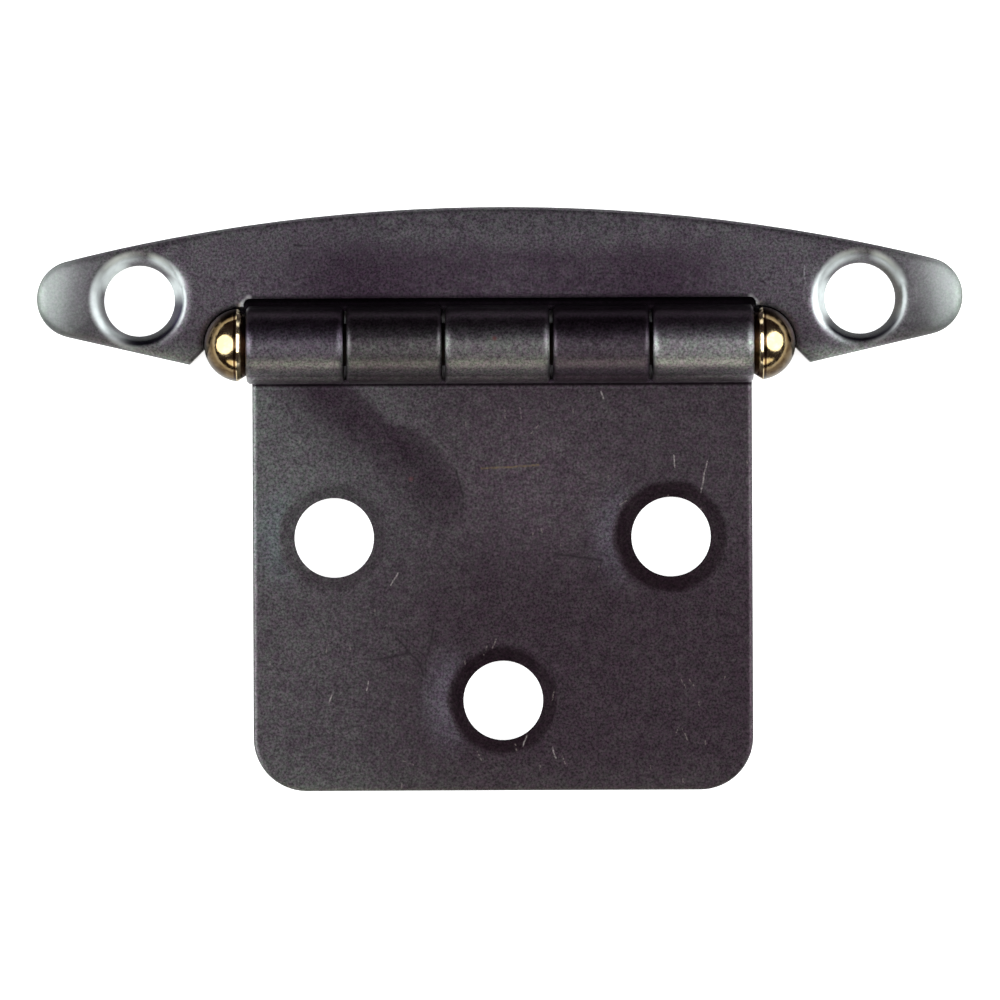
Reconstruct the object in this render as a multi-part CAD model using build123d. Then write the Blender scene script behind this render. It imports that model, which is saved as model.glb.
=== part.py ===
from build123d import *
import math
import os

# Flush hinge for a cabinet door, in millimetres. X runs along the pin, +Y towards the wing,
# +Z out of the face that shows. The backs of both leaves lie in the plane Z = 0, and the
# origin is midway between the two screw holes of the wing, on that plane.

# Sheet steel and pin
sheet = 1.3
pin_radius = 3.175 / 2
pin_play = 0.04
pin_y = -3.4

# Barrel, shared between its knuckles from left to right: frame, door, frame, door, frame
barrel_length = 38.1
knuckle_shares = (7.275, 7.15, 7.85, 7.25, 7.575)
knuckle_gap = 0.25
knuckle_edge = 0.2
seam_gap = 0.12
swing_gap = 0.15

# Pin heads
head_inset = 0.18
head_flare = 0.45
head_rim = 0.7
head_dome = 2.5
head_gap = 0.05

# Wing: the outline seen from the front, placed round the screw holes of its ears
wing_arc_radius = 136.0
ear_hole_out = 8.15
ear_top_gap = 0.705
ear_edge_gap = 0.455
ear_tip_reach = 4.32
ear_tip_radius = 2.9
ear_corner_out = 1.2

# Wing: the slot for the barrel and the pockets for the pin heads
slot_gap = 0.57
slot_end_gap = 0.25
slot_corner = 0.45
head_clearance = 0.12

# Wing: the crowned face, highest along one line and falling to the edges and the ear tips
crown_top = 2.9
crown_line_y = 3.5
crown_radius = 27.0
tip_drop = 1.2
tip_drop_power = 12
rim_edge = 0.2

# Wing: screw holes in dished seats
ear_hole_radius = 2.68
ear_seat_width = 0.72
ear_seat_edge = 0.25
ear_land = 0.9

# Door leaf
leaf_inset = 0.2
leaf_shift = 0.15
leaf_side_border = 6.15
leaf_end_border = 6.8
leaf_corner = 4.0
leaf_edge = 0.15
door_hole_radius = 3.0
door_upper_drop = 14.54
door_row_step = 12.3
dimple_height = 0.8
dimple_land = 0.2
dimple_flank = 0.8
dimple_foot_edge = 0.6
dimple_lip_edge = 0.12
countersink_width = 0.9
countersink_depth = 1.0

# How far cutting shapes run past the metal
overrun = 1.0


def reach_at_sheet(radius):
    """Distance from the pin's line at which a round of this radius meets the sheet's top."""
    return math.sqrt(radius**2 - (barrel_radius - sheet) ** 2)


# Barrel and heads
bore_radius = pin_radius + pin_play
barrel_radius = bore_radius + sheet
roll_angle = 270 + math.degrees(
    math.asin((barrel_radius - sheet - seam_gap) / barrel_radius)
)
pin_line = Axis((0, pin_y, barrel_radius), (1, 0, 0))
head_radius = barrel_radius - head_inset
dome_radius = (head_radius**2 + head_dome**2) / (2 * head_dome)
head_wide_x = barrel_length / 2 + head_rim
head_tip_x = head_wide_x + head_dome
dome_x = head_tip_x - dome_radius
notch_reach = reach_at_sheet(barrel_radius + swing_gap)
pocket_reach = reach_at_sheet(dome_radius + head_clearance)

# Ears
ear_hole_x = barrel_length / 2 + ear_hole_out
ear_seat_radius = ear_hole_radius + ear_seat_width
ear_edge_radius = ear_seat_radius + ear_edge_gap
ear_tip_x = ear_hole_x + ear_seat_radius + ear_tip_reach
wing_arc_y = -math.sqrt((wing_arc_radius - ear_seat_radius - ear_top_gap) ** 2 - ear_hole_x**2)
wing_top = wing_arc_y + wing_arc_radius
tip_x = ear_tip_x - ear_tip_radius
tip_y = wing_arc_y + math.sqrt((wing_arc_radius - ear_tip_radius) ** 2 - tip_x**2)
edge_slope = math.atan2(tip_y, tip_x - ear_hole_x) + math.asin(
    (ear_edge_radius - ear_tip_radius) / math.hypot(tip_x - ear_hole_x, tip_y)
)
ear_corner_x = head_tip_x + ear_corner_out
ear_corner_y = (ear_corner_x - ear_hole_x) * math.tan(edge_slope) - ear_edge_radius / math.cos(
    edge_slope
)

# Slot and door leaf
slot_y = pin_y + barrel_radius + slot_gap
slot_half = barrel_length / 2 + slot_end_gap
leaf_width = barrel_length - 2 * leaf_inset
door_hole_spacing = leaf_width - 2 * leaf_side_border
door_upper_y = pin_y - door_upper_drop
door_lower_y = door_upper_y - door_row_step


def knuckle_spans():
    """Left and right end of each knuckle along X."""
    spans = []
    scale = (barrel_length + knuckle_gap) / sum(s + knuckle_gap for s in knuckle_shares)
    left = -barrel_length / 2
    for share in knuckle_shares:
        right = left + scale * (share + knuckle_gap)
        spans.append((left, right - knuckle_gap))
        left = right
    return spans


def frame_spans():
    return knuckle_spans()[0::2]


def door_spans():
    return knuckle_spans()[1::2]


def box_between(low, high):
    size = [b - a for a, b in zip(low, high)]
    return Pos(*low) * Box(*size, align=Align.MIN)


def roll(span, side):
    """One rolled knuckle. It leaves the sheet under the pin and curls away from it: side is +1
    for a sheet that comes from +Y and -1 for one that comes from -Y."""
    left, right = span
    section = Pos((left + right) / 2, bore_radius + sheet / 2) * Rectangle(right - left, sheet)
    section = chamfer(section.vertices().group_by(Axis.Y)[-1], knuckle_edge)
    under_pin = Plane(origin=(0, pin_y, barrel_radius), x_dir=(1, 0, 0), z_dir=(0, 1, 0))
    return revolve(under_pin * section, pin_line, side * -roll_angle)


def knuckles(spans, side, reach):
    """The rolls of one leaf, each with the tongue that joins it to its sheet."""
    solid = Part()
    for span in spans:
        tongue = box_between(
            (span[0], min(pin_y, reach), 0), (span[1], max(pin_y, reach), sheet)
        )
        solid += tongue
        solid += roll(span, side)
    return solid


def dimple():
    """Ring pressed up round a screw hole, with its foot and its lip eased."""
    top = sheet + dimple_height
    top_radius = door_hole_radius + dimple_land
    base_radius = top_radius + dimple_flank
    outer = base_radius + 1.5 * dimple_foot_edge
    middle = sheet / 2
    points = [
        (door_hole_radius, middle),
        (door_hole_radius, top),
        (top_radius, top),
        (base_radius, sheet),
        (outer, sheet),
        (outer, middle),
    ]
    section = make_face(Polyline(*points, close=True))
    lip = section.vertices().sort_by_distance(points[2])[0]
    section = chamfer(lip, dimple_lip_edge)
    foot = section.vertices().sort_by_distance(points[3])[0]
    section = chamfer(foot, dimple_foot_edge)
    return revolve(Plane.XZ * section, Axis.Z)


def door_screw_seat():
    """Screw hole with its countersink in the leaf's back, as a solid to take away."""
    mouth_radius = door_hole_radius + countersink_width
    sink = Cone(
        mouth_radius,
        door_hole_radius,
        countersink_depth,
        align=(Align.CENTER, Align.CENTER, Align.MIN),
    )
    return sink + Cylinder(door_hole_radius, 2 * (sheet + dimple_height + overrun))


def door_holes():
    return [
        (leaf_shift - door_hole_spacing / 2, door_upper_y),
        (leaf_shift + door_hole_spacing / 2, door_upper_y),
        (leaf_shift, door_lower_y),
    ]


def door_leaf():
    """Flat leaf with three dimpled holes and the two inner knuckles."""
    top = pin_y - notch_reach
    low = door_lower_y - leaf_end_border
    left = leaf_shift - leaf_width / 2
    plate = box_between((left, low, 0), (left + leaf_width, top, sheet))
    lower_corners = plate.edges().filter_by(Axis.Z).group_by(Axis.Y)[0]
    plate = fillet(lower_corners, leaf_corner)
    front = plate.faces().sort_by(Axis.Z)[-1]
    plate = chamfer(front.edges() - front.edges().group_by(Axis.Y)[-1], leaf_edge)
    for x, y in door_holes():
        plate += Pos(x, y) * dimple()
        plate -= Pos(x, y) * door_screw_seat()
    return plate + knuckles(door_spans(), -1, top - sheet)


def crown_height(x, y):
    """Height of the wing's face above the back plane."""
    across = (y - crown_line_y) ** 2 / (2 * crown_radius)
    along = tip_drop * abs(x / ear_tip_x) ** tip_drop_power
    return crown_top - across - along


def above_crown(drop):
    """Everything above the wing's face, with the face lowered by drop."""
    columns = 33
    rows = 7
    x_reach = ear_tip_x + overrun
    y_low = ear_corner_y - 2 * overrun
    y_high = wing_top + overrun
    grid = []
    for i in range(columns):
        x = x_reach * (2 * i / (columns - 1) - 1)
        ys = [y_low + (y_high - y_low) * j / (rows - 1) for j in range(rows)]
        grid.append([(x, y, crown_height(x, y) - drop) for y in ys])
    face = Face.make_surface_from_array_of_points(grid)
    return extrude(face, 3 * crown_top, dir=(0, 0, 1))


def wing_outline():
    """The wing without its slot: one long arc above, and a round tip at each ear. Below, a
    straight edge runs from each tip to just past the ear's inner corner."""
    lean = math.atan2(tip_x, tip_y - wing_arc_y)
    top = (
        wing_arc_radius * math.sin(lean),
        wing_arc_y + wing_arc_radius * math.cos(lean),
    )
    low = (
        tip_x + ear_tip_radius * math.sin(edge_slope),
        tip_y - ear_tip_radius * math.cos(edge_slope),
    )
    inner = (ear_corner_x - overrun, ear_corner_y - overrun * math.tan(edge_slope))
    edges = [
        ThreePointArc((-top[0], top[1]), (0, wing_top), top),
        ThreePointArc(top, (ear_tip_x, tip_y), low),
        Polyline(low, inner, (-inner[0], inner[1]), (-low[0], low[1])),
        ThreePointArc((-low[0], low[1]), (-ear_tip_x, tip_y), (-top[0], top[1])),
    ]
    return make_face(edges)


def slot_outline(top_y, head_reach):
    """What is open in the wing for the barrel, the heads and the swing: up to top_y along the
    barrel, and head_reach round each head."""
    low = ear_corner_y - ear_corner_x
    cut = Pos(0, (low + top_y) / 2) * RectangleRounded(2 * slot_half, top_y - low, slot_corner)
    for side in (-1, 1):
        cut += Pos(side * dome_x, pin_y) * Circle(head_reach)
    level_x = ear_corner_x + ear_corner_y - pin_y
    cut += make_face(
        Polyline(
            (-level_x, pin_y),
            (level_x, pin_y),
            (2 * ear_corner_x, low),
            (-2 * ear_corner_x, low),
            close=True,
        )
    )
    return cut


def ear_dish(x, thickness):
    """The cone of a dished screw seat, grown by the thickness of its wall."""
    rise = crown_height(x, 0) - ear_land
    slope = ear_seat_width / rise
    depth = 2 * crown_top
    cone = Cone(
        ear_hole_radius + thickness,
        ear_hole_radius + thickness + slope * depth,
        depth,
        align=(Align.CENTER, Align.CENTER, Align.MIN),
    )
    foot = Cylinder(ear_hole_radius + thickness, 2 * ear_land)
    return Pos(x, 0) * (foot + Pos(0, 0, ear_land) * cone)


def frame_leaf():
    """Crowned wing, hollow behind, with dished ears, a ledge of flat sheet along its slot and
    the three outer knuckles."""
    block_height = crown_top + rim_edge
    slot = slot_outline(slot_y, dome_radius + head_clearance)
    shell = extrude(wing_outline(), block_height) - above_crown(0)
    rim = shell.faces().sort_by(Axis.Z)[-1].edges()
    shell = chamfer(rim, rim_edge)
    for x in (-ear_hole_x, ear_hole_x):
        shell -= ear_dish(x, 0)
        dish_face = shell.faces().filter_by(GeomType.CONE).sort_by_distance((x, 0, ear_land))[0]
        mouth = dish_face.edges().sort_by(Axis.Z)[-1]
        shell = chamfer(mouth, ear_seat_edge)
    shell -= Pos(0, 0, sheet) * extrude(slot, block_height)
    shell -= extrude(slot_outline(pin_y + notch_reach, pocket_reach), block_height)
    inside = extrude(offset(wing_outline(), -sheet), block_height) - above_crown(sheet)
    inside -= extrude(offset(slot, sheet), block_height)
    for x in (-ear_hole_x, ear_hole_x):
        inside -= ear_dish(x, sheet)
    shell -= inside
    return shell + knuckles(frame_spans(), 1, slot_y + sheet)


def hinge_pin():
    """Rivet pin: the shank with a domed head formed at each end."""
    end = barrel_length / 2 + head_gap
    dome = RadiusArc((head_wide_x, head_radius), (head_tip_x, 0), dome_radius)
    body = Polyline(
        (head_tip_x, 0),
        (0, 0),
        (0, pin_radius),
        (end, pin_radius),
        (end, head_radius - head_flare),
        (head_wide_x, head_radius),
    )
    right = revolve(make_face([body, dome]), Axis.X)
    return Pos(0, pin_y, barrel_radius) * (right + mirror(right, Plane.YZ))


os.makedirs("parts", exist_ok=True)
export_step(frame_leaf(), "parts/frame_leaf.step")
export_step(door_leaf(), "parts/door_leaf.step")
export_step(hinge_pin(), "parts/hinge_pin.step")
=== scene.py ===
import math

import bpy
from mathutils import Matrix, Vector

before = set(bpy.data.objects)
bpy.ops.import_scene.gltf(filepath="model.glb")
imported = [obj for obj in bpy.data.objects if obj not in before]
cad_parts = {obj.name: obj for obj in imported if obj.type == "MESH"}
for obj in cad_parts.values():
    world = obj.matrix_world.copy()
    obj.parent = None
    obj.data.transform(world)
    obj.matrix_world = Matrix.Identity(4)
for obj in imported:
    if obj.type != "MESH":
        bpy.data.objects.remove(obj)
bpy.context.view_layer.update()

MM = 0.001
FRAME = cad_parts["frame_leaf"]
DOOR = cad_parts["door_leaf"]
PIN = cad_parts["hinge_pin"]

# The photograph's framing: its width on the object, the point at its middle and its slight roll
VIEW_WIDTH = 75.43 * MM
VIEW_CENTRE = Vector((-0.04, -15.13, 0)) * MM
VIEW_ROLL = math.radians(0.24)
VIEW_PLANE = 1.3 * MM
CAMERA_HEIGHT = 0.62
SENSOR_WIDTH = 36.0
CLIP_NEAR = 0.01
CLIP_FAR = 20.0

# Where the lamps aim, and each lamp: name, bearing round Z from +X and lean from the vertical
# in degrees, distance and size in metres, brightness and tint
LIT_POINT = Vector((0, -8, 2)) * MM
LAMPS = (
    ("box_right", 6, 52, 0.6, (0.6, 0.66), 5.3, (0.94, 1.0, 0.99)),
    ("box_left", 178, 52, 0.6, (0.6, 0.66), 4.75, (0.94, 1.0, 0.99)),
    ("box_low", 270, 64, 0.6, (1.0, 0.24), 1.9, (1.0, 1.0, 0.82)),
    ("box_over", 270, 15, 0.75, (0.18, 0.9), 0.85, (1.0, 0.9, 1.0)),
)

# The sky's faint light on the object; the camera sees a pale sky instead
SKY_COLOUR = (1.0, 0.7, 0.85, 1)
SKY_STRENGTH = 0.03

# The floor: half its side, how far it lies under the hinge, its colour and its glow
FLOOR_HALF = 1.6
FLOOR_DROP = 0.02 * MM
FLOOR_COLOUR = (0.8, 0.8, 0.8, 1.0)
FLOOR_GLOW_SEEN = 0.9
FLOOR_GLOW_IN_METAL = 0.12

# Samples that each Bevel and Ambient Occlusion node takes
NODE_SAMPLES = 4

# Places on the hinge that the wear and dirt refer to, in millimetres
EAR_X = 27.2
EAR_TIP_X = 34.92
DOOR_HOLES = ((-12.55, -17.94), (12.85, -17.94), (0.15, -30.24))
BARREL_HALF = 19.05
BARREL_BACK_Y = -0.47
BARREL_FRONT_Y = -6.3
HEAD_WIDE_X = 19.75
SLOT_HALF = 19.3
SLOT_Y = 0.1

# Sizes of the steel's blotches, its grain and the wandering of its stains' edges
MOTTLE = 0.9 * MM
GRAIN = 0.18 * MM
WANDER = 0.5 * MM
THIN_WANDER = 0.25 * MM

# Radius that the wing's edges are eased by at its middle and at its ears, and the leaf's edges
WING_EDGE = 0.6 * MM
EAR_EDGE = 1.0 * MM
LEAF_EDGE = 0.35 * MM

# The ring of painted shade round each door hole: how dark it is, its radius in millimetres and how
# bright the painted highlight of its halo is
RINGS = ((0.4, 4.0, 1.25), (1.0, 4.22, 1.7), (0.95, 4.05, 2.2))

# The steel's colours, the colours of its marks, and of its painted highlights
WING_LIGHT = (0.135, 0.129, 0.134, 1.0)
WING_DARK = (0.110, 0.097, 0.112, 1.0)
LEAF_LIGHT = (0.122, 0.118, 0.117, 1.0)
LEAF_DARK = (0.099, 0.090, 0.096, 1.0)
EAR_GREY = (0.120, 0.116, 0.119, 1.0)
DISH_HIGHLIGHT = (0.93, 0.98, 0.98, 1.0)
CORNER_HIGHLIGHT = (0.85, 0.85, 0.84, 1.0)
WING_SCRATCH = (0.5, 0.5, 0.52, 1.0)
PIT = (0.02, 0.015, 0.02, 1.0)
RUST = (0.22, 0.07, 0.07, 1.0)
DARK_SCRATCH = (0.03, 0.025, 0.028, 1.0)
BROWN_SCRATCH = (0.21, 0.16, 0.09, 1.0)
TAN_SCRATCH = (0.42, 0.36, 0.33, 1.0)
WHITE_SCRATCH = (0.55, 0.51, 0.48, 1.0)
RED_SPOT = (0.22, 0.09, 0.09, 1.0)

# What tone, dirt, painted shade and painted highlights multiply the steel's red, green and blue
# by: everywhere, on the wing and its knuckles, and on the door leaf
GREENER = (0.95, 1.03, 0.97)
PURPLER = (1.1, 0.9, 1.07)
# Painted highlight along the barrel's front, painted shade along its back, painted highlight on its
# top
BARREL_FRONT_HIGHLIGHT = (2.0, 2.0, 2.0)
BARREL_BACK_SHADE = (0.25, 0.19, 0.24)
BARREL_TOP_HIGHLIGHT = (1.42, 1.55, 1.35)

# Painted shade along the wing's slot: its main band, two darker patches, a paler middle and the
# ledge
SLOT_SHADE = (0.57, 0.48, 0.56)
LEFT_SLOT_SHADE = (0.74, 0.68, 0.74)
RIGHT_SLOT_SHADE = (0.78, 0.71, 0.77)
PALE_MIDDLE = (1.22, 1.27, 1.22)
SLOT_LEDGE_SHADE = (0.2, 0.15, 0.2)
# Painted shade on the dish walls, and the brown of the right dish's wall
DISH_WALL_SHADE = (0.04, 0.03, 0.06)
BROWN_WALL = (0.78, 0.74, 0.56)
# Painted highlights on the ears' lower edges, their ends and their tips
EAR_LOW_EDGE_HIGHLIGHT = (1.4, 1.6, 1.4)
EAR_LOW_RIGHT_HIGHLIGHT = (1.5, 1.55, 1.55)
EAR_END_HIGHLIGHT = (1.24, 1.36, 1.27)
EAR_TIP_HIGHLIGHT = (1.6, 1.68, 1.58)
# Painted shade on the first knuckle and a painted highlight on the last
FIRST_KNUCKLE_SHADE = (0.86, 0.79, 0.92)
LAST_KNUCKLE_HIGHLIGHT = (1.75, 1.85, 1.8)

LEAF_RIGHT = (0.52, 0.42, 0.48)
DOOR_KNUCKLES = (0.56, 0.48, 0.55)
RIGHT_DOOR_KNUCKLE = (0.8, 0.7, 0.82)
BARREL_SHADOW = (0.2, 0.17, 0.2)
PALE_LINE = (1.35, 1.4, 1.4)
LEAF_LEFT_EDGE = (0.52, 0.5, 0.5)
LEAF_LOW_EDGE = (1.2, 1.32, 1.2)
LEAF_TOP = (1.3, 1.42, 1.35)
PALE_PATCH = (1.3, 1.3, 1.3)
OILY_STAIN = (0.42, 0.32, 0.40)
# Painted shade in the rings round the door holes, and the painted highlight of their halos
RING_SHADE = (0.34, 0.27, 0.30)
HALO_HIGHLIGHT = (0.91, 1.02, 1.04)

# The brass: its two colours, the painted shade of its shank, and what painted shade and a darker
# dome multiply it by
BRASS_WARM = (0.80, 0.62, 0.36, 1.0)
BRASS_PALE = (0.86, 0.72, 0.50, 1.0)
SHANK_SHADE = (0.02, 0.015, 0.012, 1.0)
BRASS_SIDE_SHADE = (0.15, 0.11, 0.08)
BRASS_DOME = (0.5, 0.45, 0.38)
BRASS_CREASE_SHADE = (0.16, 0.1, 0.07)

# East and north share of a step of length 1 along a diagonal
DIAGONAL = 0.707

# Scratches on the door leaf, each from one point to another, in millimetres
WHITE_SCRATCHES = (
    ((13.1, -11.8), (13.2, -12.7)),
    ((15.6, -12.3), (15.1, -14.6)),
    ((7.6, -7.0), (7.8, -7.5)),
    ((-10.0, -28.8), (-10.2, -29.5)),
    ((-12.8, -29.8), (-13.0, -30.4)),
    ((-7.8, -20.6), (-8.3, -21.5)),
    ((1.9, -32.9), (1.6, -33.7)),
    ((3.8, -33.8), (4.1, -34.6)),
)
TAN_SCRATCHES = (
    ((0.3, -8.1), (0.35, -8.9)),
    ((1.5, -8.2), (1.6, -9.0)),
    ((3.0, -9.4), (2.3, -10.1)),
    ((9.0, -15.5), (9.5, -15.2)),
    ((-1.0, -25.9), (-1.3, -26.8)),
    ((-0.3, -25.6), (-0.7, -26.4)),
    ((-13.0, -25.8), (-13.2, -26.6)),
    ((-11.5, -25.9), (-11.3, -26.5)),
    ((13.6, -28.7), (13.9, -29.3)),
    ((14.2, -28.7), (14.5, -29.2)),
    ((13.1, -32.9), (13.4, -32.4)),
    ((13.7, -32.5), (14.0, -33.3)),
    ((0.9, -33.2), (1.1, -34.0)),
    ((-1.8, -34.1), (-1.5, -34.8)),
    ((4.5, -34.4), (4.8, -35.0)),
    ((-7.4, -34.8), (-6.6, -35.1)),
    ((4.0, -29.6), (3.8, -30.3)),
    ((3.05, -17.3), (3.1, -17.6)),
    ((3.4, -17.35), (3.5, -17.5)),
    ((2.45, -17.6), (2.4, -17.9)),
)
DARK_SCRATCHES = (
    ((4.2, -19.2), (7.6, -19.7)),
    ((7.6, -19.7), (6.8, -21.4)),
    ((-7.9, -25.5), (-6.3, -27.2)),
    ((-6.3, -27.2), (-5.9, -28.4)),
    ((-5.2, -24.8), (-5.6, -26.8)),
    ((-9.6, -27.1), (-6.9, -26.6)),
    ((-3.3, -12.9), (-2.8, -15.0)),
    ((6.8, -3.1), (7.3, -3.5)),
)


class Graph:
    """A material's node tree, with short calls for the nodes that the finishes use. A mask is a
    number from 0 to 1 at each point of the surface."""

    def __init__(self, name):
        self.material = bpy.data.materials.new(name)
        self.material.use_nodes = True
        self.tree = self.material.node_tree
        self.tree.nodes.clear()
        self.place = self.add("ShaderNodeTexCoord").outputs["Object"]

    def add(self, kind, settings=None, inputs=None):
        """A new node, with its settings and with its inputs set or linked."""
        node = self.tree.nodes.new(kind)
        for key, value in (settings or {}).items():
            setattr(node, key, value)
        for key, value in (inputs or {}).items():
            self.feed(node.inputs[key], value)
        return node

    def feed(self, socket, value):
        """Links a socket to the value when that is a node's output, and otherwise sets it."""
        if isinstance(value, bpy.types.NodeSocket):
            self.tree.links.new(value, socket)
        else:
            socket.default_value = value

    # Arithmetic on numbers, vectors and masks

    def math(self, operation, a, b=0.0):
        return self.add("ShaderNodeMath", {"operation": operation}, {0: a, 1: b}).outputs[0]

    def vector(self, operation, a, b=(0, 0, 0)):
        return self.add("ShaderNodeVectorMath", {"operation": operation}, {0: a, 1: b}).outputs

    def product(self, *masks):
        result = masks[0]
        for mask in masks[1:]:
            result = self.math("MULTIPLY", result, mask)
        return result

    def most(self, *masks):
        """The largest of the masks."""
        result = masks[0]
        for mask in masks[1:]:
            result = self.math("MAXIMUM", result, mask)
        return result

    def rest(self, mask):
        """The mask turned round: 1 where it is 0."""
        return self.math("SUBTRACT", 1.0, mask)

    def remap(self, value, low, high, to_low=0.0, to_high=1.0):
        inputs = {
            "Value": value,
            "From Min": low,
            "From Max": high,
            "To Min": to_low,
            "To Max": to_high,
        }
        node = self.add("ShaderNodeMapRange", {"interpolation_type": "SMOOTHSTEP"}, inputs)
        return node.outputs["Result"]

    def above(self, value, low, high):
        """0 up to low and 1 from high on; both in millimetres."""
        return self.remap(value, low * MM, high * MM)

    def below(self, value, low, high):
        """1 up to low and 0 from high on; both in millimetres."""
        return self.remap(value, low * MM, high * MM, 1.0, 0.0)

    def between(self, value, low, high, soft):
        """1 from low to high, fading to 0 outside; sizes in millimetres."""
        rise = self.above(value, low - soft, low + soft)
        fall = self.below(value, high - soft, high + soft)
        return self.product(rise, fall)

    # Colours

    def mix(self, amount, a, b):
        node = self.add("ShaderNodeMix", {"data_type": "RGBA"})
        for key, value in (("Factor_Float", amount), ("A_Color", a), ("B_Color", b)):
            self.feed(next(s for s in node.inputs if s.identifier == key), value)
        return next(s for s in node.outputs if s.identifier == "Result_Color")

    def shade(self, tone, factor):
        """The colour made lighter or darker by a factor."""
        grey = self.add("ShaderNodeCombineColor", inputs={0: factor, 1: factor, 2: factor})
        return self.vector("MULTIPLY", tone, grey.outputs[0])[0]

    def tinted(self, amount, tone, tint):
        """The colour multiplied by a tint, as far as the amount says."""
        return self.mix(amount, tone, self.vector("MULTIPLY", tone, tint)[0])

    # Places on the sheet

    def axis(self, name):
        return self.add("ShaderNodeSeparateXYZ", inputs={0: self.place}).outputs[name]

    def sheet_place(self, wander=0.0):
        """The point's place over the sheet, moved about by a little noise, in metres."""
        flat = self.vector("MULTIPLY", self.place, (1, 1, 0))[0]
        if not wander:
            return flat
        field = self.add(
            "ShaderNodeTexNoise", inputs={"Vector": self.place, "Scale": 1 / (4 * wander)}
        )
        drift = self.vector("SUBTRACT", field.outputs["Color"], (0.5, 0.5, 0.5))[0]
        drift = self.vector("MULTIPLY", drift, (wander, wander, 0))[0]
        return self.vector("ADD", flat, drift)[0]

    def around(self, place, centre):
        """Distance from a point of the sheet, and how far east and north it lies, -1 to 1."""
        offset = self.vector("SUBTRACT", place, (centre[0] * MM, centre[1] * MM, 0))[0]
        away = self.vector("LENGTH", offset)["Value"]
        unit = self.vector("NORMALIZE", offset)[0]
        bearing = self.add("ShaderNodeSeparateXYZ", inputs={0: unit}).outputs
        return away, bearing["X"], bearing["Y"]

    def facing(self, east, north, east_share, north_share):
        """How far a bearing lies towards the direction that the two shares give."""
        return self.math(
            "ADD", self.product(east, east_share), self.product(north, north_share)
        )

    # Patterns

    def noise(self, size, detail=3.0, rough=0.55, bend=0.0):
        """Noise whose features are about size metres across."""
        inputs = {
            "Vector": self.place,
            "Scale": 1.0 / size,
            "Detail": detail,
            "Roughness": rough,
            "Distortion": bend,
        }
        return self.add("ShaderNodeTexNoise", inputs=inputs).outputs["Fac"]

    def spot(self, place, centre, radius, soft):
        """1 in a round patch of the sheet, fading to 0 over its edge; sizes in millimetres."""
        away = self.vector("DISTANCE", place, (centre[0] * MM, centre[1] * MM, 0))["Value"]
        return self.below(away, radius - soft, radius + soft)

    def scratch(self, place, start, end, width):
        """1 along a line on the sheet, fading to its sides; sizes in millimetres."""
        start = Vector((*start, 0)) * MM
        run = Vector((*end, 0)) * MM - start
        offset = self.vector("SUBTRACT", place, start)[0]
        along = self.vector("DOT_PRODUCT", offset, run / run.length_squared)["Value"]
        along = self.add("ShaderNodeClamp", inputs={"Value": along}).outputs[0]
        nearest = self.add("ShaderNodeVectorMath", {"operation": "SCALE"}, {0: run, 3: along})
        away = self.vector("DISTANCE", offset, nearest.outputs[0])["Value"]
        return self.below(away, 0.0, width)

    def scratches(self, place, lines, width):
        return self.most(*[self.scratch(place, start, end, width) for start, end in lines])

    def flecks(self, spacing, size, turn, kept):
        """Short random marks that lie one way, in about the kept share of the cells."""
        turned = self.add(
            "ShaderNodeMapping",
            inputs={"Vector": self.place, "Rotation": (0, 0, turn), "Scale": (1, 0.35, 1)},
        ).outputs[0]
        cells = self.add(
            "ShaderNodeTexVoronoi",
            {"voronoi_dimensions": "2D"},
            {"Vector": turned, "Scale": 1 / spacing},
        )
        chance = self.add("ShaderNodeSeparateColor", inputs={0: cells.outputs["Color"]}).outputs[0]
        near = self.remap(cells.outputs["Distance"], 0.3 * size / spacing, size / spacing, 1.0, 0.0)
        return self.product(near, self.math("LESS_THAN", chance, kept))

    def open_sky(self, distance):
        """1 in the open, down to 0 deep in a crevice; distance is how far it looks."""
        settings = {"samples": NODE_SAMPLES}
        node = self.add("ShaderNodeAmbientOcclusion", settings, {"Distance": distance})
        return node.outputs["AO"]

    # The surface

    def relief(self, height, strength, distance, **normal):
        """The surface's normal, tipped by small ups and downs."""
        inputs = {"Height": height, "Strength": strength, "Distance": distance, **normal}
        return self.add("ShaderNodeBump", inputs=inputs).outputs["Normal"]

    def surface(self, shader):
        """Ends the graph in a shader and gives the material."""
        out = self.add("ShaderNodeOutputMaterial")
        self.feed(out.inputs["Surface"], shader.outputs[0])
        return self.material

    def metal(self, tone, metallic, rough, normal):
        inputs = {"Base Color": tone, "Metallic": metallic, "Roughness": rough, "Normal": normal}
        return self.surface(self.add("ShaderNodeBsdfPrincipled", inputs=inputs))


# The steel that both leaves share


def steel_noises(g):
    """The steel's blotches and its fine grain."""
    mottle = g.noise(MOTTLE, 4, 0.65, 0.3)
    grain = g.noise(GRAIN, 3, 0.7)
    return mottle, grain


def steel_tone(g, mottle, grain, light, dark):
    """Mottled purple and grey with a fine grain, and painted shade that darkens the crevices."""
    clouds = g.noise(8 * MM, 3, 0.5, 0.6)
    tone = g.mix(g.remap(mottle, 0.35, 0.65), dark, light)
    tone = g.mix(g.remap(clouds, 0.35, 0.65, 0.0, 0.4), tone, dark)
    hue = g.remap(g.noise(0.3 * MM, 2), 0.35, 0.65)
    tone = g.tinted(hue, g.tinted(1.0, tone, GREENER), PURPLER)
    tone = g.shade(tone, g.remap(grain, 0.2, 0.8, 0.3, 1.7))
    return g.shade(tone, g.remap(g.open_sky(1.2 * MM), 0.1, 0.8, 0.12, 1.0))


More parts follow.
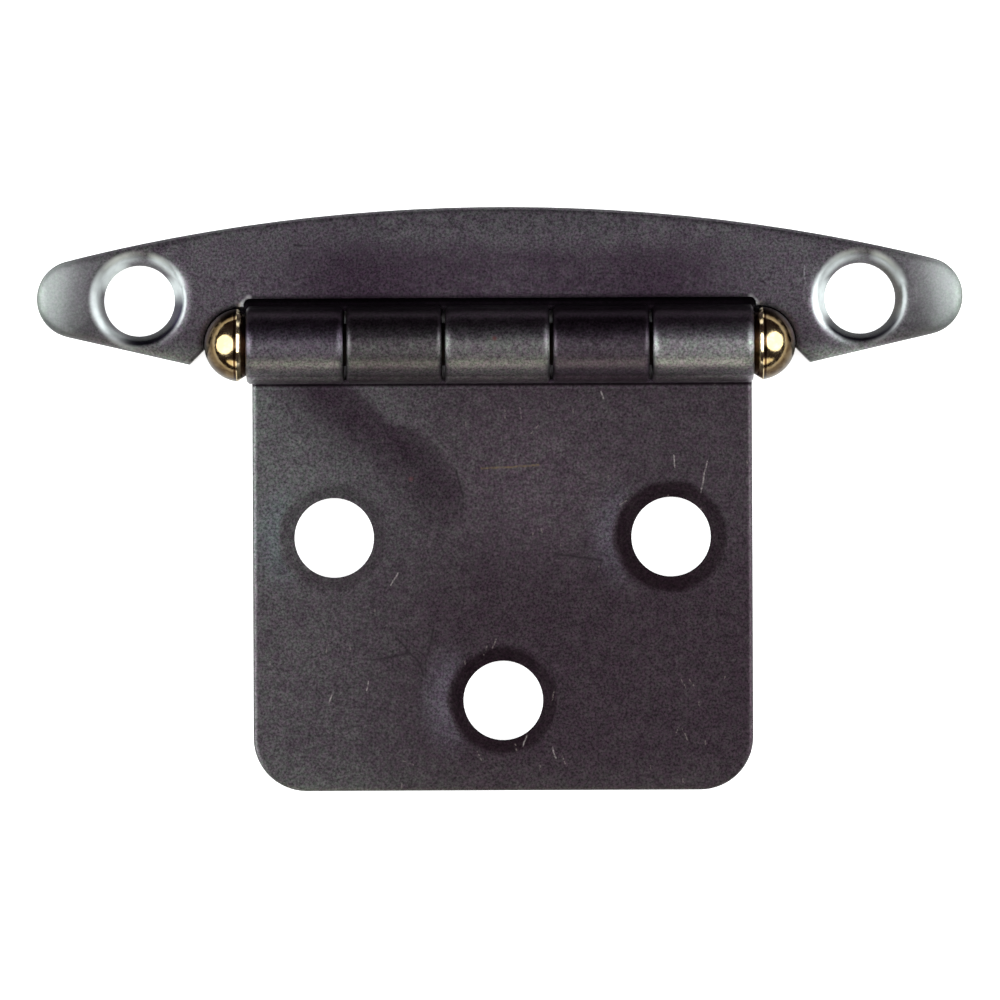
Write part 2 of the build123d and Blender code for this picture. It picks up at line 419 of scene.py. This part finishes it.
def barrel_tone(g, tone):
    """Painted shade along the barrel's back, where it faces the slot, a painted highlight on its
    top, and a painted highlight along its front."""
    y = g.axis("Y")
    front = g.between(y, BARREL_FRONT_Y - 0.05, BARREL_FRONT_Y + 0.45, 0.06)
    back_shade = g.between(y, -2.35, BARREL_BACK_Y + 0.12, 0.75)
    rub_and_highlight = g.between(y, -4.9, -3.1, 0.45)
    tone = g.tinted(front, tone, BARREL_FRONT_HIGHLIGHT)
    tone = g.tinted(back_shade, tone, BARREL_BACK_SHADE)
    return g.tinted(rub_and_highlight, tone, BARREL_TOP_HIGHLIGHT)


def steel_finish(g, tone, mottle, grain, edge_radius, flat=0.0):
    """Satin steel with eased edges. Where flat is 1, its relief is as good as worn away."""
    rough = g.remap(mottle, 0.3, 0.7, 0.31, 0.36)
    rough = g.math("ADD", rough, g.remap(grain, 0.3, 0.7, -0.03, 0.03))
    settings = {"samples": NODE_SAMPLES}
    soft = g.add("ShaderNodeBevel", settings, {"Radius": edge_radius}).outputs[0]
    up = g.add(
        "ShaderNodeVectorTransform",
        {"vector_type": "NORMAL", "convert_from": "OBJECT", "convert_to": "WORLD"},
        {0: (0, 0, 1)},
    ).outputs[0]
    soft = g.vector("NORMALIZE", g.mix(flat, soft, up))[0]
    normal = g.relief(grain, 0.25, 0.01 * MM, Normal=soft)
    return g.metal(tone, 0.95, rough, normal)


# The wing


def wing_slot_shade(g, tone, place, across):
    """Painted shade along the slot, where the barrel shades the wing, with two darker patches, a
    paler one at the middle, and the darkest on the ledge in the slot.
    """
    y = g.axis("Y")
    on_wing = g.most(g.above(y, -0.2, -0.1), g.above(across, SLOT_HALF, SLOT_HALF + 0.1))
    towards_slot = g.below(y, 2.6, 5.1)
    inner = g.below(across, 9.5, 22)
    tone = g.tinted(g.product(on_wing, towards_slot, inner), tone, SLOT_SHADE)
    tone = g.tinted(g.spot(place, (-11.5, 0.9), 3.6, 3.4), tone, LEFT_SLOT_SHADE)
    tone = g.tinted(g.spot(place, (13.0, 0.3), 3.6, 3.4), tone, RIGHT_SLOT_SHADE)
    tone = g.tinted(g.spot(place, (0.5, 1.2), 2.0, 1.8), tone, PALE_MIDDLE)
    in_slot = g.product(
        g.below(across, SLOT_HALF, SLOT_HALF + 0.05),
        g.between(y, BARREL_BACK_Y, SLOT_Y, 0.02),
        g.below(g.axis("Z"), 1.4, 2.4),
    )
    return g.tinted(in_slot, tone, SLOT_LEDGE_SHADE)


def paint_dish_light(g, tone, dish, lips, lit_wall, shaded):
    """A dished screw seat, with painted highlights on its lips, at its upper right and where its
    wall is lit, and painted shade, black, where its wall is shaded."""
    away, east, north = dish
    northeast = g.facing(east, north, DIAGONAL, DIAGONAL)
    soft_lip = g.product(g.between(away, 3.1, 3.6, 0.3), g.remap(northeast, 0.8, 0.97))
    wall = g.below(away, 3.25, 3.5)
    bright = g.most(*lips, soft_lip, g.product(wall, lit_wall))
    patchy = g.remap(g.noise(0.7 * MM, 2), 0.3, 0.6, 0.85, 1.0)
    tone = g.mix(g.product(bright, patchy), tone, DISH_HIGHLIGHT)
    return g.tinted(shaded, tone, DISH_WALL_SHADE)


def left_dish(g, tone, place):
    """The left ear's dish: painted highlights on its wall at the upper left and the right, and
    painted shade at the lower right."""
    dish = g.around(place, (-EAR_X, 0))
    away, east, north = dish
    left_lip = g.product(
        g.between(away, 2.95, 3.65, 0.22),
        g.remap(east, -0.6, 0.2, 1.0, 0.0),
        g.remap(north, -0.1, 0.6, 0.62, 1.0),
    )
    right_lip = g.product(
        g.between(away, 3.3, 3.6, 0.12),
        g.remap(east, 0.2, 0.8, 0.0, 0.45),
        g.remap(north, -0.75, -0.3, 0.3, 1.0),
    )
    northwest = g.facing(east, north, -DIAGONAL, DIAGONAL)
    lit_wall = g.most(g.remap(northwest, 0.8, 1.0), g.remap(east, 0.7, 0.95))
    inward = g.facing(east, north, 0.7, -0.9)
    shaded = g.product(g.remap(inward, 0.4, 0.85), g.below(away, 3.27, 3.57))
    return paint_dish_light(g, tone, dish, (left_lip, right_lip), lit_wall, shaded)


def right_dish(g, tone, place):
    """The right ear's dish: a painted highlight on its wall at the left, brown at the right and
    painted shade below.
    """
    dish = g.around(place, (EAR_X, 0))
    away, east, north = dish
    left_lip = g.product(
        g.between(away, 2.95, 3.65, 0.22),
        g.remap(east, -0.6, 0.2, 1.0, 0.0),
        g.remap(north, -0.8, -0.2, 0.14, 0.75),
    )
    right_lip = g.product(g.between(away, 3.17, 3.45, 0.12), g.remap(east, 0.2, 0.8, 0.0, 0.6))
    southeast = g.facing(east, north, DIAGONAL, -DIAGONAL)
    low_lip = g.product(g.between(away, 2.95, 3.5, 0.2), g.remap(southeast, 0.75, 1.0, 0.0, 0.35))
    lit_wall = g.remap(east, -1.0, -0.75, 1.0, 0.0)
    downward = g.facing(east, north, 0.1, -0.9)
    shaded = g.product(g.remap(downward, 0.25, 0.65), g.below(away, 3.15, 3.45))
    brown = g.product(g.below(away, 3.1, 3.25), g.remap(east, 0.2, 0.8))
    tone = g.tinted(brown, tone, BROWN_WALL)
    return paint_dish_light(g, tone, dish, (left_lip, right_lip, low_lip), lit_wall, shaded)


def ear_tones(g, tone, across):
    """Painted highlights: the ears' lower edges paler, most at the right, and their ends pale with
    a bright tip.
    """
    y = g.axis("Y")
    low_edge = g.product(g.below(y, -4.4, -2.6), g.between(across, 22.6, 28, 0.8))
    tone = g.tinted(low_edge, tone, EAR_LOW_EDGE_HIGHLIGHT)
    low_right = g.product(g.below(y, -3.9, -2.8), g.between(g.axis("X"), 24, 31, 1.5))
    tone = g.tinted(low_right, tone, EAR_LOW_RIGHT_HIGHLIGHT)
    evenly = g.product(g.above(across, 27, 33), 0.65)
    tone = g.mix(evenly, tone, EAR_GREY)
    tone = g.tinted(g.above(across, 31, EAR_TIP_X - 0.6), tone, EAR_END_HIGHLIGHT)
    return g.tinted(g.above(across, EAR_TIP_X - 0.9, EAR_TIP_X - 0.1), tone, EAR_TIP_HIGHLIGHT)


def frame_knuckles(g, tone, across):
    """Painted shade and highlights on the wing's knuckles, with the first darker and the last
    paler.
    """
    x = g.axis("X")
    y = g.axis("Y")
    inner = g.below(across, SLOT_HALF, SLOT_HALF + 0.05)
    tone = g.mix(inner, tone, barrel_tone(g, tone))
    last = g.product(g.between(x, 11.3, 19.2, 0.1), g.between(y, -5.0, -1.6, 0.5))
    tone = g.tinted(last, tone, LAST_KNUCKLE_HIGHLIGHT)
    first = g.product(g.between(x, -19.2, -11.7, 0.1), g.between(y, -4.4, -1.6, 0.5))
    return g.tinted(first, tone, FIRST_KNUCKLE_SHADE)


def slot_corners(g, tone, place):
    """Painted highlights where the wing's metal wraps round the two corners of the slot."""
    left = g.scratch(place, (-19.38, -0.42), (-18.9, 0.1), 0.38)
    right = g.scratch(place, (18.9, 0.12), (19.38, -0.4), 0.32)
    front = g.above(g.axis("Z"), 1.6, 1.9)
    rub_and_highlight = g.product(g.most(left, g.product(right, 0.6)), front)
    return g.mix(rub_and_highlight, tone, CORNER_HIGHLIGHT)


def wing_marks(g, tone, place):
    """A thin scratch beside the right dish, two pits, and a speck of rust on the barrel."""
    line = g.scratch(place, (23.0, 2.4), (23.05, 1.5), 0.12)
    faint_line = g.scratch(place, (23.1, 1.5), (22.9, 0.0), 0.12)
    broken = g.remap(g.noise(0.25 * MM, 2), 0.35, 0.55)
    rub_and_highlight = g.product(g.most(line, g.product(faint_line, 0.4)), broken, 0.5)
    tone = g.mix(rub_and_highlight, tone, WING_SCRATCH)
    left_pit = g.scratch(place, (-15.4, 4.15), (-15.0, 4.05), 0.2)
    right_pit = g.scratch(place, (19.6, 1.3), (19.9, 1.15), 0.16)
    tone = g.mix(g.product(g.most(left_pit, right_pit), 0.7), tone, PIT)
    rust = g.spot(place, (-0.45, -3.1), 0.16, 0.14)
    return g.mix(g.product(rust, 0.7), tone, RUST)


def frame_steel(name):
    """Satin blackened sheet of the wing and its knuckles, the first, third and fifth."""
    g = Graph(name)
    mottle, grain = steel_noises(g)
    across = g.math("ABSOLUTE", g.axis("X"))
    place = g.sheet_place(WANDER)
    flat_place = g.sheet_place()
    tone = steel_tone(g, mottle, grain, WING_LIGHT, WING_DARK)
    tone = wing_slot_shade(g, tone, place, across)
    tone = left_dish(g, tone, flat_place)
    tone = right_dish(g, tone, flat_place)
    tone = ear_tones(g, tone, across)
    tone = frame_knuckles(g, tone, across)
    tone = slot_corners(g, tone, flat_place)
    tone = wing_marks(g, tone, place)
    edge_radius = g.remap(across, 21 * MM, 24 * MM, WING_EDGE, EAR_EDGE)
    return steel_finish(g, tone, mottle, grain, edge_radius)


# The door leaf


def leaf_tones(g, tone, place):
    """Broad shades of the door leaf: darker to its right and on its knuckles, a painted shadow
    along the barrel with a pale line below it, and paler towards its top and its low edge."""
    x = g.axis("X")
    y = g.axis("Y")
    on_leaf = g.below(y, BARREL_FRONT_Y - 0.1, BARREL_FRONT_Y + 0.1)
    on_barrel = g.rest(on_leaf)
    tone = g.tinted(g.product(on_leaf, g.above(x, -20, 0)), tone, LEAF_RIGHT)
    tone = g.tinted(on_barrel, tone, DOOR_KNUCKLES)
    tone = g.tinted(g.product(on_barrel, g.above(x, -1, 1)), tone, RIGHT_DOOR_KNUCKLE)
    beside_barrel = g.between(y, BARREL_FRONT_Y - 0.2, BARREL_FRONT_Y, 0.06)
    shadow = g.product(beside_barrel, g.below(g.axis("Z"), 1.4, 1.6))
    tone = g.tinted(shadow, tone, BARREL_SHADOW)
    pale_line = g.between(y, BARREL_FRONT_Y - 0.45, BARREL_FRONT_Y - 0.3, 0.07)
    tone = g.tinted(pale_line, tone, PALE_LINE)
    tone = g.tinted(g.below(x, -18.75, -18.5), tone, LEAF_LEFT_EDGE)
    tone = g.tinted(g.below(y, -37, -33.5), tone, LEAF_LOW_EDGE)
    tone = g.tinted(g.above(y, -24, -15), tone, LEAF_TOP)
    return g.tinted(g.spot(place, (2.5, -13.8), 5.0, 4.2), tone, PALE_PATCH)


def leaf_stain(g, tone, place):
    """Oily purple stain that runs down from the upper left: sharp at its upper right, where
    two drops met, and fading out the other way."""
    drops = g.most(
        g.spot(place, (-15.0, -13.0), 7.4, 0.35),
        g.spot(place, (-9.5, -16.0), 6.87, 0.3),
    )
    run = g.most(
        g.scratch(place, (-13.8, -6.6), (-10.8, -8.9), 4.8),
        g.product(g.scratch(place, (-10.6, -8.8), (-7.1, -11.4), 4.4), 0.9),
        g.product(g.scratch(place, (-7.1, -11.4), (-4.6, -14.6), 4.2), 0.68),
    )
    return g.tinted(g.product(drops, run), tone, OILY_STAIN)


def dark_ring(g, tone, place, hole, depth, radius, glow):
    """Ring of painted shade round a screw hole, where the pressed ring slopes, with a painted
    highlight as a pale halo to its left.
    """
    away, east, _ = g.around(place, hole)
    ring = g.product(
        g.below(away, radius - 0.3, radius + 0.25),
        g.remap(east, 0.1, 1.0, 1.0, 0.75),
        depth,
    )
    tone = g.tinted(ring, tone, RING_SHADE)
    halo = g.product(
        g.above(away, radius + 0.05, radius + 0.4),
        g.below(away, 4.5, 6.9),
        g.remap(east, -1.0, -0.55, 1.0, 0.0),
    )
    return g.tinted(halo, tone, [glow * part for part in HALO_HIGHLIGHT])


def leaf_marks(g, tone, place):
    """Dark cracks in the film, a brown line, tan and white scratches, flecks and a red spot."""
    thin_place = g.sheet_place(THIN_WANDER)
    broken = g.remap(g.noise(0.22 * MM, 2), 0.42, 0.58)
    dark = g.scratches(place, DARK_SCRATCHES, 0.16)
    tone = g.mix(g.product(dark, 0.75), tone, DARK_SCRATCH)
    brown = g.scratch(thin_place, (-1.4, -12.75), (2.9, -12.55), 0.13)
    brown = g.product(brown, g.math("ADD", g.product(broken, 0.5), 0.35))
    tone = g.mix(brown, tone, BROWN_SCRATCH)
    flecks = g.flecks(2.0 * MM, 0.1 * MM, -0.35, 0.3)
    off_barrel = g.below(g.axis("Y"), BARREL_FRONT_Y - 0.2, BARREL_FRONT_Y - 0.1)
    flecks = g.product(flecks, off_barrel, 0.35)
    tan = g.product(g.scratches(thin_place, TAN_SCRATCHES, 0.09), 0.42)
    tone = g.mix(g.product(g.most(tan, flecks), broken), tone, TAN_SCRATCH)
    white = g.scratches(thin_place, WHITE_SCRATCHES, 0.09)
    tone = g.mix(g.product(white, g.math("ADD", broken, 0.4), 0.5), tone, WHITE_SCRATCH)
    red = g.spot(place, (-6.8, -13.5), 0.16, 0.16)
    return g.mix(g.product(red, 0.45), tone, RED_SPOT)


def pressed_rings(g, place):
    """Nearly 1 on the leaf's face over the pressed rings, which the light hardly picks out."""
    near = [g.below(g.around(place, hole)[0], 4.6, 4.9) for hole in DOOR_HOLES]
    front = g.above(g.axis("Z"), 1.1, 1.25)
    return g.product(g.most(*near), front, 0.9)


def door_steel(name):
    """The same sheet on the door leaf, with an oily stain, dark rings of painted shade, painted
    shade and highlights on its knuckles, and scratches.
    """
    g = Graph(name)
    mottle, grain = steel_noises(g)
    place = g.sheet_place(WANDER)
    flat_place = g.sheet_place()
    tone = steel_tone(g, mottle, grain, LEAF_LIGHT, LEAF_DARK)
    tone = leaf_tones(g, tone, place)
    tone = leaf_stain(g, tone, place)
    for hole, (depth, radius, glow) in zip(DOOR_HOLES, RINGS):
        tone = dark_ring(g, tone, place, hole, depth, radius, glow)
    tone = barrel_tone(g, tone)
    tone = leaf_marks(g, tone, place)
    return steel_finish(g, tone, mottle, grain, LEAF_EDGE, pressed_rings(g, flat_place))


# The pin


def polished_brass(name):
    """Bright brass on the tops of the heads, with painted shade down their sides, round the rim and
    at the neck, and the shank between them painted near black as the shade in the knuckles' gaps."""
    g = Graph(name)
    patch = g.noise(0.9 * MM, 4, 0.6, 0.5)
    out = g.math("ABSOLUTE", g.axis("X"))
    tone = g.mix(g.remap(patch, 0.4, 0.7), BRASS_WARM, BRASS_PALE)
    side = g.product(
        g.below(g.axis("Z"), 4.6, 5.0),
        g.above(out, HEAD_WIDE_X, HEAD_WIDE_X + 0.1),
        g.remap(g.noise(0.8 * MM, 3, 0.6, 0.8), 0.35, 0.65, 1.0, 0.75),
    )
    tone = g.tinted(side, tone, BRASS_SIDE_SHADE)
    tone = g.tinted(g.above(out, HEAD_WIDE_X + 0.1, HEAD_WIDE_X + 0.4), tone, BRASS_DOME)
    rim = g.between(out, HEAD_WIDE_X + 0.06, HEAD_WIDE_X + 0.26, 0.05)
    neck = g.below(out, HEAD_WIDE_X - 0.35, HEAD_WIDE_X - 0.2)
    tone = g.tinted(g.most(rim, neck), tone, BRASS_CREASE_SHADE)
    inside = g.below(out, BARREL_HALF - 0.1, BARREL_HALF)
    tone = g.mix(inside, tone, SHANK_SHADE)
    rough = g.math("ADD", g.remap(patch, 0.3, 0.7, 0.08, 0.17), g.product(inside, 0.4))
    normal = g.relief(g.noise(0.6 * MM, 3, 0.6), 0.3, 0.05 * MM)
    return g.metal(tone, 1.0, rough, normal)


# The floor, the lamps and the camera


def floor_white(name):
    """White that keeps the object's shadow. Its glow stands for far more light from all round
    than the lamps give, so it fades where the hinge covers the floor."""
    g = Graph(name)
    path = g.add("ShaderNodeLightPath").outputs
    seen = g.product(g.most(path["Is Camera Ray"], path["Is Transmission Ray"]), FLOOR_GLOW_SEEN)
    glow = g.math("ADD", seen, g.product(path["Is Glossy Ray"], FLOOR_GLOW_IN_METAL))
    from_below = g.add("ShaderNodeNewGeometry").outputs["Backfacing"]
    # Painted shadow: the glow is taken out of a strip of floor under the barrel, fixed in place
    shadow_under_barrel = g.product(
        g.below(g.math("ABSOLUTE", g.axis("X")), 17, 18),
        g.between(g.axis("Y"), BARREL_FRONT_Y + 0.1, SLOT_Y, 0.1),
        g.rest(from_below),
    )
    uncovered = g.remap(g.open_sky(3 * MM), 0.08, 0.3)
    glow = g.product(glow, uncovered, g.rest(shadow_under_barrel))
    plain = g.add("ShaderNodeBsdfDiffuse", inputs={"Color": FLOOR_COLOUR})
    shine = g.add("ShaderNodeEmission", inputs={"Strength": glow})
    both = g.add("ShaderNodeAddShader", inputs={0: plain.outputs[0], 1: shine.outputs[0]})
    return g.surface(both)


def pale_floor():
    corners = ((-1, -1), (1, -1), (1, 1), (-1, 1))
    mesh = bpy.data.meshes.new("floor")
    mesh.from_pydata(
        [(FLOOR_HALF * x, FLOOR_HALF * y, 0) for x, y in corners],
        [],
        [(0, 1, 2, 3)],
    )
    floor = bpy.data.objects.new("floor", mesh)
    bpy.context.scene.collection.objects.link(floor)
    floor.location.z = -FLOOR_DROP
    mesh.materials.append(floor_white("floor_white"))


def softbox(name, bearing, lean, distance, size, brightness, tint):
    """Area light in the sky. Its energy follows its area, so brightness is how bright it
    looks."""
    light = bpy.data.lights.new(name, "AREA")
    light.shape = "ELLIPSE"
    light.size, light.size_y = size
    area = math.pi / 4 * size[0] * size[1]
    light.energy = brightness * math.pi * area
    light.color = tint
    lamp = bpy.data.objects.new(name, light)
    bpy.context.scene.collection.objects.link(lamp)
    bearing = math.radians(bearing)
    lean = math.radians(lean)
    away = Vector(
        (math.sin(lean) * math.cos(bearing), math.sin(lean) * math.sin(bearing), math.cos(lean))
    )
    lamp.location = LIT_POINT + distance * away
    lamp.rotation_euler = away.to_track_quat("Z", "Y").to_euler()
    lamp.visible_camera = False


def pale_sky():
    world = bpy.data.worlds.new("studio")
    world.use_nodes = True
    bpy.context.scene.world = world
    nodes = world.node_tree.nodes
    links = world.node_tree.links
    nodes.clear()
    path = nodes.new("ShaderNodeLightPath")
    dim = nodes.new("ShaderNodeBackground")
    dim.inputs["Color"].default_value = SKY_COLOUR
    dim.inputs["Strength"].default_value = SKY_STRENGTH
    pale = nodes.new("ShaderNodeBackground")
    mix = nodes.new("ShaderNodeMixShader")
    out = nodes.new("ShaderNodeOutputWorld")
    links.new(path.outputs["Is Camera Ray"], mix.inputs[0])
    links.new(dim.outputs[0], mix.inputs[1])
    links.new(pale.outputs[0], mix.inputs[2])
    links.new(mix.outputs[0], out.inputs["Surface"])


def photo_camera():
    """Camera straight above the hinge, framed as the photograph is."""
    data = bpy.data.cameras.new("camera")
    camera = bpy.data.objects.new("camera", data)
    bpy.context.scene.collection.objects.link(camera)
    height = CAMERA_HEIGHT + VIEW_PLANE
    camera.location = VIEW_CENTRE + Vector((0, 0, height))
    camera.rotation_euler = (0, 0, -VIEW_ROLL)
    data.sensor_width = SENSOR_WIDTH
    data.lens = SENSOR_WIDTH * CAMERA_HEIGHT / VIEW_WIDTH
    data.clip_start = CLIP_NEAR
    data.clip_end = CLIP_FAR
    bpy.context.scene.camera = camera


def dress(node, material):
    """Gives a solid its finish in every material slot."""
    for slot in node.material_slots:
        slot.material = material


dress(FRAME, frame_steel("blackened_steel"))
dress(DOOR, door_steel("blackened_steel_leaf"))
dress(PIN, polished_brass("polished_brass"))
pale_floor()
pale_sky()
for lamp in LAMPS:
    softbox(*lamp)
photo_camera()
bpy.context.scene.view_settings.view_transform = "Standard"
